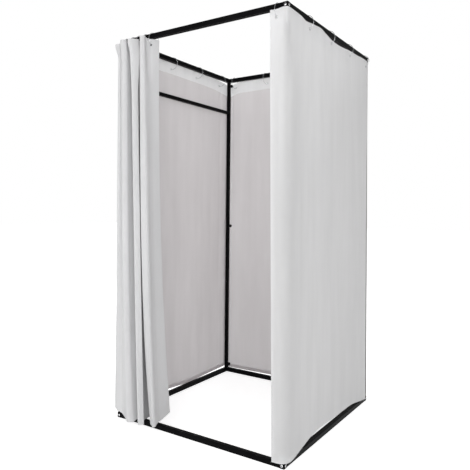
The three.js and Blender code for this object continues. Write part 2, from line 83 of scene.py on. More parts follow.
# Curtain cloth: its place off the beams, half its thickness, and how much thicker it is where it is
# folded double, which sets in within HEM_EDGE to either side of a seam.
CLOTH_OFFSET = 0.004
CLOTH_HALF = 0.0004
CLOTH_FOLDED = 0.0007
CLOTH_WIDTH = 1.06
CLOTH_TOP = 1.976
FRONT_CLOTH_TOP = 1.9735
CLOTH_FOOT = 0.026
SIDE_HEM = 0.016
FOOT_HEM = 0.022
HEM_EDGE = 0.0004
STEP_ACROSS = 0.0075
STEP_DOWN = 0.011
FRONT_STEP_DOWN = 0.0125

# Rings and eyelets. CORNER_RING is how far the back curtain's first ring hangs from its corner.
RINGS = 5
RING_RADIUS = 0.03525
RING_WIRE = 0.00125
RING_HEIGHT = middle_of("ring_front_1")[2]
FIRST_RING = middle_of("ring_front_1")[0] - LEFT
RING_PITCH = middle_of("ring_front_2")[0] - middle_of("ring_front_1")[0]
CORNER_RING = middle_of("ring_back_1")[0] - LEFT
EYELET_HOLE = 0.0055
EYELET_RIM = 0.0076
EYELET_WIRE = 0.0011
EYELET_HEIGHT = RING_HEIGHT - (RING_RADIUS**2 - (TUBE / 2 + CLOTH_OFFSET) ** 2) ** 0.5


# Curves

def linear(red, green, blue):
    """A colour's scene-linear values from its values on the 0 to 255 display scale."""
    share = np.array((red, green, blue)) / 255
    value = np.where(share <= 0.04045, share / 12.92, ((share + 0.055) / 1.055) ** 2.4)
    return tuple(float(v) for v in value)


def smooth(low, high, x):
    """0 below low, 1 above high, and 3t^2 - 2t^3 between them."""
    t = np.clip((x - low) / (high - low), 0, 1)
    return t * t * (3 - 2 * t)


def mix(a, b, share):
    """The value that share of the way from a to b."""
    return a + (b - a) * share


def hump(x, width):
    """A rounded hump, exp(-(x / width)^2)."""
    return np.exp(-((x / width) ** 2))


def slopes(step, chord):
    """A curve's slope at each of its points: the mean of the two chords that meet there, weighted towards
    the shorter one, and at either end the chord itself."""
    inner = (step[:-1] * chord[1:] + step[1:] * chord[:-1]) / (step[:-1] + step[1:])
    return np.concatenate([chord[:1], inner, chord[-1:]])


def cubic(t, step, start, end, start_slope, end_slope):
    """The cubic over one step of a curve, at the share t of it, from its ends and the slopes there."""
    return (
        (1 + 2 * t) * (1 - t) ** 2 * start
        + t * (1 - t) ** 2 * step * start_slope
        + t * t * (3 - 2 * t) * end
        - t * t * (1 - t) * step * end_slope
    )


def through(points, x):
    """A smooth curve through a few points (place, value), read at each x and level beyond its ends."""
    places, values = np.array(points, float).T
    step = np.diff(places)
    slope = slopes(step, np.diff(values) / step)
    x = np.clip(x, places[0], places[-1])
    i = np.clip(np.searchsorted(places, x) - 1, 0, len(step) - 1)
    return cubic((x - places[i]) / step[i], step[i], values[i], values[i + 1], slope[i], slope[i + 1])


def ripples(seed, u, v, count, longest, shortest):
    """A sum of plane waves over u and v, in metres, with wavelengths from longest to shortest, most of
    them running nearly down the cloth. The sum stays within about 1 either way."""
    lean = 0.18
    draw = np.random.default_rng(seed)
    total = np.zeros(np.broadcast(u, v).shape)
    for _ in range(count):
        wave = longest * (shortest / longest) ** draw.random()
        slant = lean * draw.normal()
        phase = 2 * np.pi * draw.random()
        total += np.sin(2 * np.pi * (u + slant * v) / wave + phase) / count**0.5
    return total


def spread(low, high, step, breaks):
    """Levels from low to high about a step apart, with a close pair round each break."""
    marks = [low, high]
    for at in breaks:
        marks += [at - HEM_EDGE, at + HEM_EDGE]
    marks = np.array(sorted(marks))
    runs = [
        np.linspace(a, b, max(int(np.ceil((b - a) / step)), 1), endpoint=False)
        for a, b in zip(marks[:-1], marks[1:])
    ]
    return np.concatenate([*runs, [high]])


def room(x, y, z):
    """Room coordinates as points of the row frame."""
    return np.stack(np.broadcast_arrays(LEFT + x, FRONT + y, z), axis=-1)


# Meshes

def mesh_object(name, points, faces, materials, sharp, face_slots=None, uv=None):
    """An object at the origin from points and faces, smooth but where it bends by more than sharp, in
    radians. face_slots holds each face's material, and uv a pair for each point."""
    mesh = bpy.data.meshes.new(name)
    mesh.from_pydata(points.tolist(), [], faces)
    for material in materials:
        mesh.materials.append(material)
    if face_slots is not None:
        mesh.polygons.foreach_set("material_index", np.asarray(face_slots, np.int32))
    if uv is not None:
        corners = np.empty(len(mesh.loops), np.int32)
        mesh.loops.foreach_get("vertex_index", corners)
        layer = mesh.uv_layers.new(name="cloth")
        layer.data.foreach_set("uv", uv[corners].astype(np.float32).ravel())
    mesh.polygons.foreach_set("use_smooth", np.ones(len(mesh.polygons), bool))
    mesh.set_sharp_from_angle(angle=sharp)
    mesh.validate()
    mesh.update()
    made = bpy.data.objects.new(name, mesh)
    bpy.context.scene.collection.objects.link(made)
    return made


def declare(made, body, node=None):
    """Gives a piece its body and the CAD node that it stands for."""
    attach(made, body)
    if node:
        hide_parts(node)
    return made


def grid_faces(rows, columns, start=0):
    """The quads of a grid of points stored row by row."""
    i = start + np.arange((rows - 1) * columns).reshape(rows - 1, columns)[:, :-1].ravel()
    return np.stack([i, i + 1, i + columns + 1, i + columns], axis=1)


def angles(sides):
    """Evenly spaced angles all round."""
    return 2 * np.pi * np.arange(sides) / sides


def carried(radius, level, turn):
    """A profile carried round the Z axis, ring by ring. radius is a column, or a row for each ring where
    it changes on the way round, and level holds each ring's height."""
    radius, level, turn = np.broadcast_arrays(radius, np.array(level)[:, None], turn)
    return np.stack([radius * np.cos(turn), radius * np.sin(turn), level], axis=-1).reshape(-1, 3)


def ring_faces(rings, sides, start=0, closed=False):
    """The quads between each ring of points and the next. They go on from the last ring to the first
    where it is closed, and otherwise a flat face covers either end. Faces point outwards where a
    profile climbs along its outer side."""
    i, j = np.meshgrid(np.arange(rings if closed else rings - 1), np.arange(sides), indexing="ij")
    near, far = start + i * sides, start + (i + 1) % rings * sides
    beside = (j + 1) % sides
    quads = np.stack([near + j, near + beside, far + beside, far + j], axis=-1).reshape(-1, 4).tolist()
    if closed:
        return quads
    last = start + (rings - 1) * sides
    return [*quads, list(range(start, start + sides))[::-1], list(range(last, last + sides))]


def oriented(normal):
    """The rotation that turns +Z to a normal and keeps +Y upright where it can."""
    forward = np.array(normal, float) / np.linalg.norm(normal)
    side = np.cross(UP, forward)
    side /= np.linalg.norm(side)
    return np.stack([side, np.cross(forward, side), forward], axis=1)


def apply_modifiers(made):
    """Leaves an object with the mesh that its modifiers give."""
    graph = bpy.context.evaluated_depsgraph_get()
    done = bpy.data.meshes.new_from_object(made.evaluated_get(graph))
    old = made.data
    made.modifiers.clear()
    made.data = done
    done.name = made.name
    bpy.data.meshes.remove(old)


# Shader nodes

def new_material(name):
    """An empty node material with a Principled BSDF wired to its output."""
    material = bpy.data.materials.new(name)
    material.use_nodes = True
    tree = material.node_tree
    tree.nodes.clear()
    output = tree.nodes.new("ShaderNodeOutputMaterial")
    shader = tree.nodes.new("ShaderNodeBsdfPrincipled")
    tree.links.new(shader.outputs["BSDF"], output.inputs["Surface"])
    return material, tree, shader


def new_group(name, inputs, outputs):
    """A shader node group with float sockets, each input with its default, and its two ends."""
    group = bpy.data.node_groups.new(name, "ShaderNodeTree")
    for socket, default in inputs.items():
        made = group.interface.new_socket(socket, in_out="INPUT", socket_type="NodeSocketFloat")
        made.default_value = default
    for socket in outputs:
        group.interface.new_socket(socket, in_out="OUTPUT", socket_type="NodeSocketFloat")
    return group, group.nodes.new("NodeGroupInput"), group.nodes.new("NodeGroupOutput")


def set_inputs(node, values):
    """Sets inputs of a node by their names."""
    for name, value in values.items():
        node.inputs[name].default_value = value


def place_group(tree, group, **values):
    """A group node in a material, with its own values."""
    node = tree.nodes.new("ShaderNodeGroup")
    node.node_tree = group
    set_inputs(node, values)
    return node


def feed(tree, socket, value):
    """Sets an input to a number, or links a socket to it."""
    if isinstance(value, (int, float)):
        socket.default_value = value
    else:
        tree.links.new(value, socket)


def math_node(tree, operation, *values):
    """A Math node whose inputs are numbers or sockets, and its output socket."""
    node = tree.nodes.new("ShaderNodeMath")
    node.operation = operation
    for socket, value in zip(node.inputs, values):
        feed(tree, socket, value)
    return node.outputs[0]


def noise_node(tree, vector, scale, detail):
    """A Noise Texture on a vector socket, and its value socket."""
    node = tree.nodes.new("ShaderNodeTexNoise")
    tree.links.new(vector, node.inputs["Vector"])
    feed(tree, node.inputs["Scale"], scale)
    set_inputs(node, {"Detail": detail})
    return node.outputs[0]


def stretched(tree, vector, factors):
    """A vector socket multiplied part by part."""
    node = tree.nodes.new("ShaderNodeVectorMath")
    node.operation = "MULTIPLY"
    tree.links.new(vector, node.inputs[0])
    node.inputs[1].default_value = factors
    return node.outputs[0]


def ramp(tree, value, low, high, start=0.35, stop=0.65):
    """A colour ramp between two colours over a value's middle range."""
    node = tree.nodes.new("ShaderNodeValToRGB")
    tree.links.new(value, node.inputs[0])
    for end, position, colour in zip(node.color_ramp.elements, (start, stop), (low, high)):
        end.position = position
        end.color = (*colour, 1)
    return node.outputs[0]


def span(tree, value, low, high):
    """A value from 0 to 1 carried over to low to high."""
    node = tree.nodes.new("ShaderNodeMapRange")
    tree.links.new(value, node.inputs["Value"])
    set_inputs(node, {"To Min": low, "To Max": high})
    return node.outputs["Result"]


def bump(tree, shader, height, distance, strength):
    """A Bump node on a height that feeds the shader's normal."""
    node = tree.nodes.new("ShaderNodeBump")
    set_inputs(node, {"Distance": distance, "Strength": strength})
    tree.links.new(height, node.inputs["Height"])
    tree.links.new(node.outputs["Normal"], shader.inputs["Normal"])


def weave_group():
    """Plain weave on the cloth's UV map, in metres: warp and weft threads as sine ridges that pass over
    and under each other, with slubs, and a soft tone that varies over a hand's width."""
    slub_scale = (900.0, 60.0, 1.0)
    tone_scale = (14.0, 1.6, 1.0)
    group, start, end = new_group("plain_weave", {"Threads": 1400.0, "Slub": 0.5}, ("Height", "Tone"))
    uv = group.nodes.new("ShaderNodeUVMap")
    uv.uv_map = "cloth"
    axes = group.nodes.new("ShaderNodeSeparateXYZ")
    group.links.new(uv.outputs[0], axes.inputs[0])
    turns = math_node(group, "MULTIPLY", start.outputs["Threads"], np.pi)
    warp = math_node(group, "SINE", math_node(group, "MULTIPLY", axes.outputs[0], turns))
    weft = math_node(group, "SINE", math_node(group, "MULTIPLY", axes.outputs[1], turns))
    threads = math_node(group, "ABSOLUTE", math_node(group, "MULTIPLY", warp, weft))
    slub = noise_node(group, stretched(group, uv.outputs[0], slub_scale), 1.0, detail=3.0)
    slubs = math_node(group, "MULTIPLY", slub, start.outputs["Slub"])
    group.links.new(math_node(group, "ADD", threads, slubs), end.inputs["Height"])
    tone = noise_node(group, stretched(group, uv.outputs[0], tone_scale), 1.0, detail=4.0)
    group.links.new(tone, end.inputs["Tone"])
    return group


def grain_group():
    """The fine grain of a sprayed or moulded surface on Object coordinates: a small-scale height, and a
    broad mask of handling marks."""
    group, start, end = new_group("fine_grain", {"Grain": 900.0, "Marks": 14.0}, ("Height", "Mask"))
    place = group.nodes.new("ShaderNodeTexCoord")
    height = noise_node(group, place.outputs["Object"], start.outputs["Grain"], detail=2.0)
    mask = noise_node(group, place.outputs["Object"], start.outputs["Marks"], detail=5.0)
    group.links.new(height, end.inputs["Height"])
    group.links.new(mask, end.inputs["Mask"])
    return group


# Materials

# How far light spreads in a single layer of cloth, in the header band and in the gathered cloth
LAYER_SCATTER = 0.004
HEADER_SCATTER = 0.006
GATHERED_SCATTER = 0.0012
# How much lighter the band's inner side is than a single layer, and how much darker the gathered cloth is
# painted: the same cloth, darkened as painted shade of its folds
HEADER_TONE = 1.1
GATHERED_PAINTED_SHADE = 0.93


def scaled(colour, factor):
    """A colour made lighter or darker."""
    return tuple(factor * c for c in colour)


def cloth_material(name, colour, groups, scatter):
    """Matt woven cloth: thread bump, a soft tone that varies by a few levels, and a little sheen. scatter
    is how far light spreads in it, in metres: a single layer lets more through than several."""
    material, tree, shader = new_material(name)
    weave = place_group(tree, groups["weave"], Threads=1400.0, Slub=0.5)
    dim, bright = scaled(colour, 0.965), scaled(colour, 1.02)
    tree.links.new(ramp(tree, weave.outputs["Tone"], dim, bright), shader.inputs["Base Color"])
    tree.links.new(span(tree, weave.outputs["Height"], 0.86, 0.95), shader.inputs["Roughness"])
    set_inputs(shader, {
        "Sheen Weight": 0.08, "Specular IOR Level": 0.25, "Subsurface Weight": 1.0,
        "Subsurface Scale": scatter, "Subsurface Radius": (1, 1, 1),
    })
    bump(tree, shader, weave.outputs["Height"], distance=0.00012, strength=0.6)
    return material


def grained_material(name, groups, tones, grain, marks, roughness, relief, more):
    """A hard surface with a fine grain and handling marks. tones are a ramp's two colours and places,
    grain and marks the scales of the two, roughness its least and most value, relief the grain's height
    in metres and its strength, and more the shader's other inputs."""
    material, tree, shader = new_material(name)
    made = place_group(tree, groups["grain"], Grain=grain, Marks=marks)
    tree.links.new(ramp(tree, made.outputs["Mask"], *tones), shader.inputs["Base Color"])
    tree.links.new(span(tree, made.outputs["Mask"], *roughness), shader.inputs["Roughness"])
    bump(tree, shader, made.outputs["Height"], *relief)
    set_inputs(shader, more)
    return material


def coat_material(name, colour, groups):
    """Black powder coat: satin, with orange peel and faint handling marks."""
    worn = scaled(colour, 1.9)
    tones = (colour, worn, 0.42, 0.78)
    return grained_material(
        name, groups, tones, grain=700.0, marks=9.0, roughness=(0.3, 0.48), relief=(0.0001, 0.5),
        more={"Specular IOR Level": 0.03},
    )


def plastic_material(name, colour, groups):
    """Moulded plastic with a spark-eroded grain."""
    worn = scaled(colour, 1.6)
    tones = (colour, worn, 0.4, 0.8)
    return grained_material(
        name, groups, tones, grain=2200.0, marks=40.0, roughness=(0.42, 0.6), relief=(0.00008, 0.6),
        more={"Specular IOR Level": 0.15},
    )


def metal_material(name, colour, groups, roughness):
    """Plated metal: full metallic, with a roughness that varies between two values."""
    dim = scaled(colour, 0.86)
    tones = (dim, colour)
    return grained_material(
        name, groups, tones, grain=1600.0, marks=60.0, roughness=roughness, relief=(0.00003, 0.4),
        more={"Metallic": 1.0},
    )


FINISHES = {}


def finishes():
    """Every material of the part, made once."""
    if not FINISHES:
        look = bpy.context.scene.fitting_room_finish
        cloth, lining_painted_shade, knob, wire = (tuple(c) for c in (look.cloth, look.lining_painted_shade, look.knob, look.wire))
        groups = {"weave": weave_group(), "grain": grain_group()}
        FINISHES["face"] = cloth_material("curtain_face", cloth, groups, LAYER_SCATTER)
        # The curtains' inner face is the same cloth in a darker colour: painted shade of the room's inside
        FINISHES["lining_painted_shade"] = cloth_material("curtain_lining", lining_painted_shade, groups, LAYER_SCATTER)
        header, gathered = scaled(cloth, HEADER_TONE), scaled(cloth, GATHERED_PAINTED_SHADE)
        FINISHES["header"] = cloth_material("header_band", header, groups, HEADER_SCATTER)
        # The gathered face is the wall cloth's colour darkened: painted shade of its folds
        FINISHES["folded"] = cloth_material("gathered_face", gathered, groups, GATHERED_SCATTER)
        FINISHES["folded_lining_painted_shade"] = cloth_material("gathered_lining", lining_painted_shade, groups, GATHERED_SCATTER)
        FINISHES["coat"] = coat_material("black_powder_coat", tuple(look.coat), groups)
        FINISHES["plastic"] = plastic_material("black_knob_plastic", knob, groups)
        FINISHES["wire"] = metal_material("plated_wire", wire, groups, (0.16, 0.3))
        FINISHES["bolt"] = metal_material("bright_bolt_plate", tuple(look.bolt), groups, (0.12, 0.26))
        FINISHES["eyelet"] = metal_material("nickel_eyelet", wire, groups, (0.3, 0.45))
        # Black plastic for the discs that close the front eyelets' throats: painted shade of the holes
        FINISHES["hole"] = plastic_material("dark_hole", knob, groups)
    return FINISHES


# Bolt heads

# A head's radius and height, the heights of its base and of where its dome starts, and half the width
# over the flats of its socket and the depth of that
BOLT_SIDES = 36
BOLT_REACH = 0.0063
BOLT_HEIGHT = 0.0034
BOLT_BASE = 0.0006
BOLT_SHOULDER = 0.0014
BOLT_FLAT = 0.0021
BOLT_SOCKET = 0.0022
# The dome's rings from its edge inwards, as shares of its radius, and how near the edge its first one is
DOME_RINGS = np.linspace(1, 0.625, 4)
DOME_EDGE = 0.999


def add_bolt_head(name, at, normal):
    """A domed head with a hex socket. Its profile climbs the base and then an ellipse, and drops into the
    socket, whose two rings take a hexagon's radius: half the width over the flats divided by the cosine
    of the angle from the nearest flat's middle."""
    turn = angles(BOLT_SIDES)
    rise = mix(BOLT_SHOULDER, BOLT_HEIGHT, np.sqrt(1 - (DOME_EDGE * DOME_RINGS) ** 2))
    hexagon = BOLT_FLAT / np.cos((turn + np.pi / 6) % (np.pi / 3) - np.pi / 6)
    round_rings = BOLT_REACH * np.concatenate([(1, 1), DOME_RINGS])
    radius = np.concatenate([np.outer(round_rings, np.ones(BOLT_SIDES)), (hexagon, hexagon)])
    level = (0, BOLT_BASE, *rise, BOLT_HEIGHT, BOLT_HEIGHT - BOLT_SOCKET)
    points = carried(radius, level, turn) @ oriented(normal).T + at
    faces = ring_faces(len(level), BOLT_SIDES)
    made = mesh_object(name, points, faces, (finishes()["bolt"],), sharp=0.7)
    declare(made, "frame")


# Thumb knobs

KNOB_SIDES = 72
KNOB_LOBES = 6
KNOB_SWELL = 0.075
# Radius, height over the post's face in millimetres, and how far a ring takes on the lobes, from the
# screw's end over the hub and the head to its recessed face
KNOB_PROFILE = (
    (0.5, -9.0, 0), (3.0, -8.5, 0), (3.0, 0.4, 0), (7.0, 0.4, 0), (7.0, 5.2, 0), (7.8, 6.0, 0),
    (8.6, 6.1, 0.9), (9.6, 6.8, 1), (9.8, 7.8, 1), (9.8, 16.0, 1), (9.4, 17.2, 1), (8.2, 17.8, 0.9),
    (7.2, 18.0, 0.2), (6.6, 17.7, 0), (6.3, 16.8, 0), (2.0, 16.6, 0), (0.5, 16.6, 0),
)


def add_knob(name):
    """A lobed thumb knob: a profile carried round the axis whose head rings swell by
    1 + depth * cos(lobes * turn), with a round hub, a recessed face and a plain screw."""
    outward, face = (1, POST_FACE["left"]) if "left" in name else (-1, POST_FACE["right"])
    radius, level, lobed = np.array(KNOB_PROFILE).T
    turn = angles(KNOB_SIDES)
    swell = 1 + KNOB_SWELL * lobed[:, None] * np.cos(KNOB_LOBES * turn)
    at = (face, *middle_of(name)[1:])
    points = carried(radius[:, None] * MM * swell, level * MM, turn) @ oriented((outward, 0, 0)).T + at
    faces = ring_faces(len(level), KNOB_SIDES)
    made = mesh_object(f"thumb_{name}", points, faces, (finishes()["plastic"],), sharp=0.7)
    declare(made, name, name)


# Rings

# The angle of a ring's joint round its beam, half the gap there, and how far the wire narrows at it
JOINT_TURN = np.pi + 0.5
JOINT_GAP = 0.03
JOINT_SHARE = 0.45
RING_STEPS = 64
RING_SIDES = 10


def ring_names(curtain):
    """The names of a curtain's rings."""
    return [f"ring_{curtain}_{i}" for i in range(1, RINGS + 1)]


def ring_body(curtain, number):
    """The body that a ring rides on. Only the front curtain's rings move, and its first one doesn't."""
    if curtain != "front" or number == 1:
        return "frame"
    return "front_curtain_lead" if number == RINGS else f"front_ring_{number}"


def ring_places():
    """Each ring's middle, the side that it hangs on and its body. A ring takes its CAD node's place. The
    left curtain's front ring has no node, and hangs as far from its corner as the back curtain's first.
    The right curtain's first ring hangs on the front beam."""
    found = {}
    for curtain in OUTWARD:
        for number, name in enumerate(ring_names(curtain), 1):
            at = middle_of(name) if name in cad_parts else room(TUBE / 2, CORNER_RING, RING_HEIGHT)
            side = "front" if name == "ring_right_1" else curtain
            found[name] = (at, side, ring_body(curtain, number))
    return found


def add_ring(name, centre, side, body):
    """A wire ring in the plane square to its beam: a circle of round wire with a small butt joint on its
    inner side, where the wire narrows at both ends."""
    out = np.array(OUTWARD[side], float)
    turn = JOINT_TURN + np.linspace(JOINT_GAP, 2 * np.pi - JOINT_GAP, RING_STEPS)
    wire = np.full((RING_STEPS, 1), RING_WIRE)
    wire[0] = wire[-1] = JOINT_SHARE * RING_WIRE
    radial = (np.outer(np.cos(turn), out) + np.outer(np.sin(turn), UP))[:, None]
    around = angles(RING_SIDES)
    reach = RING_RADIUS + wire * np.cos(around)
    aside = wire * np.sin(around)
    points = reach[..., None] * radial + aside[..., None] * np.cross(UP, out) + centre
    faces = ring_faces(RING_STEPS, RING_SIDES)
    made = mesh_object(f"wire_{name}", points.reshape(-1, 3), faces, (finishes()["wire"],), sharp=1.0)
    declare(made, body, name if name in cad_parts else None)


# Eyelets

EYELET_SIDES = 28
# The cutter of a hole, which reaches this far to either side of the cloth
HOLE_SIDES = 24
HOLE_REACH = 0.01
# A painted shade disc's radius as a share of the hole's, and the radius of its middle, where its faces meet
DISC_SHARE = 0.99
DISC_POLE = 1e-5


def add_eyelet(name, at, normal, body, painted_shade=False):
    """A pressed eyelet at a point of the cloth's middle surface: a half-round rim on the outer face, a
    throat through the cloth and a flat washer behind, as one closed profile carried round. Where the
    cloth isn't cut, a thin black disc on each face closes the throat: painted shade of the open hole."""
    middle, half = (EYELET_HOLE + EYELET_RIM) / 2, (EYELET_RIM - EYELET_HOLE) / 2
    back = -CLOTH_HALF - CLOTH_FOLDED
    washer = back - EYELET_WIRE / 2
    arc = np.linspace(0, np.pi, 7)
    rim = np.column_stack([middle + half * np.cos(arc), CLOTH_HALF + EYELET_WIRE * np.sin(arc)])
    profiles = [np.vstack([rim, (EYELET_HOLE, washer), (EYELET_RIM, washer)])]
    # Black discs on both faces, painted shade of the hole
    if painted_shade:
        edge = DISC_SHARE * EYELET_HOLE
        for low in (CLOTH_HALF + EYELET_WIRE / 4, washer):
            high = low + EYELET_WIRE / 4
            profiles.append(np.array([(DISC_POLE, low), (edge, low), (edge, high), (DISC_POLE, high)]))
    points, faces, slots = np.empty((0, 3)), [], []
    for slot, profile in enumerate(profiles):
        quads = ring_faces(len(profile), EYELET_SIDES, start=len(points), closed=True)
        faces += quads
        slots += [min(slot, 1)] * len(quads)
        points = np.vstack([points, carried(profile[:, :1], profile[:, 1], angles(EYELET_SIDES))])
    # The second finish is the black of the painted shade discs
    materials = (finishes()["eyelet"], finishes()["hole"])
    made = mesh_object(name, points @ oriented(normal).T + at, faces, materials, sharp=0.8, face_slots=slots)
    return declare(made, body)


def cut_holes(cloth, spots):
    """Cuts a round hole through the cloth at each eyelet, given as point and normal."""
    radius = np.full((2, 1), (EYELET_HOLE + EYELET_RIM) / 2)
    plug = carried(radius, (-HOLE_REACH, HOLE_REACH), angles(HOLE_SIDES))
    mesh = bpy.data.meshes.new("hole_cutter")
    points = np.concatenate([plug @ oriented(normal).T + at for at, normal in spots])
    faces = []
    for start in range(0, len(points), len(plug)):
        faces += ring_faces(2, HOLE_SIDES, start)
    mesh.from_pydata(points.tolist(), [], faces)
    cutter = bpy.data.objects.new("hole_cutter", mesh)
    bpy.context.scene.collection.objects.link(cutter)
    cut = cloth.modifiers.new("eyelet_holes", "BOOLEAN")
    cut.operation = "DIFFERENCE"
    cut.solver = "EXACT"
    cut.object = cutter
    apply_modifiers(cloth)
    bpy.data.objects.remove(cutter)
    bpy.data.meshes.remove(mesh)


# Hung cloth

def cloth_levels(length, height, step_down):
    """Places along and down a curtain, as rows by columns, closer together at its seams."""
    band = bpy.context.scene.fitting_room_curtain.header
    across = spread(0, length, STEP_ACROSS, (SIDE_HEM, length - SIDE_HEM))
    down = spread(0, height, step_down, (band, height - FOOT_HEM))
    return np.meshgrid(across, down)


def folded_double(u, v, band):
    """How much the cloth is thicker inside: one more layer in the header band, the foot hem and the
    two side hems. u runs along the cloth and v down it, both in metres."""
    header = 1 - smooth(band - HEM_EDGE, band + HEM_EDGE, v)
    foot = smooth(-HEM_EDGE, HEM_EDGE, v - v.max() + FOOT_HEM)
    side = 1 - smooth(SIDE_HEM - HEM_EDGE, SIDE_HEM + HEM_EDGE, np.minimum(u, u.max() - u))
    return CLOTH_FOLDED * np.maximum(np.maximum(header, foot), side)


def cloth_shell(name, centre, u, v, face, lining_painted_shade):
    """A closed thin shell round a cloth's middle surface. centre is rows by columns of points, top row
    first, seen from outside with the columns running to the right, and u and v are their places on the
    flat cloth. The outer face lies half a thickness out along the normal, and the inner one half a
    thickness in, and further in where the cloth is folded double. The inner side of the header band has
    the header's finish, and the rest of it the inner finish, whose darker colour is painted shade."""
    band = bpy.context.scene.fitting_room_curtain.header
    rows, columns = u.shape
    normal = np.cross(np.gradient(centre, axis=0), np.gradient(centre, axis=1))
    normal /= np.linalg.norm(normal, axis=2, keepdims=True)
    outer = centre + normal * CLOTH_HALF
    inner = centre - normal * (CLOTH_HALF + folded_double(u, v, band)[..., None])
    points = np.concatenate([outer.reshape(-1, 3), inner.reshape(-1, 3)])
    count = rows * columns
    front = grid_faces(rows, columns)[:, ::-1]
    back = grid_faces(rows, columns, count)
    top, first = np.arange(columns), np.arange(rows) * columns
    rims = []
    for edge, turned in ((top, 1), (top + count - columns, -1), (first, -1), (first + columns - 1, 1)):
        rim = np.stack([edge[:-1], edge[1:], edge[1:] + count, edge[:-1] + count], axis=1)
        rims.append(rim[:, ::turned])
    faces = np.concatenate([front, back, *rims])
    slots = np.zeros(len(faces), int)
    below = np.repeat(np.arange(rows - 1) >= np.searchsorted(v[:, 0], band), columns - 1)
    slots[len(front) : len(front) + len(back)] = np.where(below, 1, 2)
    uv = np.stack([u, v], axis=-1).reshape(-1, 2)
    materials = [finishes()[finish] for finish in (face, lining_painted_shade, "header")]
    return mesh_object(
        name, points, faces.tolist(), materials, sharp=0.6, face_slots=slots, uv=np.concatenate([uv, uv])
    )


# Wall curtains

# The left and the back curtain's edges stay this far from the corners.
WALL_GAP = 0.005
# What is added to the fold seed for each
SEEDS = {"left": 0, "back": 10, "right": 20}
# Number, longest and shortest wave of the broad folds and of the fine ones over them
BROAD_WAVES = (6, 0.9, 0.3)
FINE_WAVES = (6, 0.2, 0.08)
FINE_DEPTH = 0.0004
CREASE_DEPTH, CREASE_WIDTH = 0.0022, 0.009
# The share of their whole depth that broad folds, fine folds and creases have at the top and at the
# level where the cloth hangs free, and how far down that is
BROAD_SHARES, FINE_SHARES, CREASE_SHARES = (0.25, 1), (0.3, 1), (1, 0.4)
HANG_DROP = 1.2
# How far an eyelet's pull reaches along the cloth and down it
PULL_ALONG, PULL_DOWN = 0.03, 0.05
# How far cloth may come in from its plane
INWARDS = 0.0006


def soft_folds(seed, along, v, z, eyelets, depth):
    """How far hung cloth stands out by its broad folds, which deepen towards the foot, and by its fine
    ones. Both fade where an eyelet pulls it flat. It also gives how free the cloth is of that pull, and
    how far down it is, both from 0 to 1."""
    near = np.min([np.abs(along - at) for at in eyelets], axis=0)
    free = 1 - hump(near, PULL_ALONG) * hump(z - EYELET_HEIGHT, PULL_DOWN)
    hang = smooth(0.0, HANG_DROP, v)
    broad = depth * (1 + ripples(seed, along, v, *BROAD_WAVES)) * mix(*BROAD_SHARES, hang) * free
    fine = FINE_DEPTH * ripples(seed + 1, along, v, *FINE_WAVES) * free
    return broad, fine, free, hang


def finish_wall(made, curtain, spots):
    cut_holes(made, spots)
    declare(made, "frame", f"curtain_{curtain}")
    names = ring_names(curtain)
    eyelets = [
        add_eyelet(name.replace("ring", "eyelet"), at, normal, "frame")
        for name, (at, normal) in zip(names, spots)
    ]


def hang_wall(curtain, corner, length, top, foot, creases):
    """Hangs the left or the back curtain. corner is where it starts, in room coordinates. Along it the
    top edge and the foot follow a curve through a few points, soft folds stand out from it, and it keeps
    a pressed crease at each place in creases. Its columns run back towards the corner."""
    look = bpy.context.scene.fitting_room_curtain
    outward = np.array(OUTWARD[curtain], float)
    axis = np.cross(outward, UP)

    def place(along, out, z):
        parts = ((along, axis), (out, outward), (z, UP))
        return room(*corner, 0) + sum(np.multiply.outer(value, way) for value, way in parts)

    rings = ring_places()
    places = [(rings[name][0] - room(*corner, 0)) @ axis for name in ring_names(curtain)]
    height = CLOTH_TOP - CLOTH_FOOT
    u, v = cloth_levels(length - 2 * WALL_GAP, height, STEP_DOWN)
    run = u + WALL_GAP
    along = length - run
    z = mix(through(top, along), through(foot, along), v / height)
    eyelets = [length - at for at in places]
    seed = look.seed + SEEDS[curtain]
    broad, fine, free, hang = soft_folds(seed, run, v, z, eyelets, look.wall_folds)
    out = broad + fine * mix(*FINE_SHARES, hang)
    for crease in creases:
        out += CREASE_DEPTH * hump(along - crease, CREASE_WIDTH) * free * mix(*CREASE_SHARES, hang)
    centre = place(along, CLOTH_OFFSET + np.maximum(out, -INWARDS), z)
    made = cloth_shell(f"{curtain}_curtain", centre, u, v, "face", "lining_painted_shade")
    finish_wall(made, curtain, [(place(at, CLOTH_OFFSET, EYELET_HEIGHT), outward) for at in places])


# Heights of the wall curtains' edges by their places along the wall, and the places of their creases, in
# metres: the left one's from the front, the back one's from the left, and the right one's from the front
# corner, negative on the strip
LEFT_TOP = (
    (0, 1.974), (0.061, 1.979), (0.25, 1.985), (0.35, 1.985), (0.48, 1.986), (0.58, 1.985), (0.68, 1.984),
    (0.79, 1.982), (0.87, 1.976), (0.94, 1.967), (1.0, 1.959),
)
LEFT_FOOT = (
    (0, 0.028), (0.2, 0.032), (0.38, 0.033), (0.5, 0.026), (0.6, 0.019), (0.7, 0.022), (0.8, 0.025),
    (0.9, 0.028), (1.0, 0.032),
)
LEFT_CREASES = (DEPTH - 0.085,)
BACK_TOP = (
    (0, 1.951), (0.01, 1.954), (0.035, 1.962), (0.076, 1.973), (0.14, 1.976), (0.25, 1.978), (0.36, 1.977),
    (0.43, 1.970), (0.56, 1.975), (0.68, 1.968), (0.80, 1.975), (0.9, 1.97), (1.0, 1.972),
)
BACK_FOOT = ((0, 0.024), (0.3, 0.027), (0.6, 0.03), (1.0, 0.026))
BACK_CREASES = (0.035, 0.36)
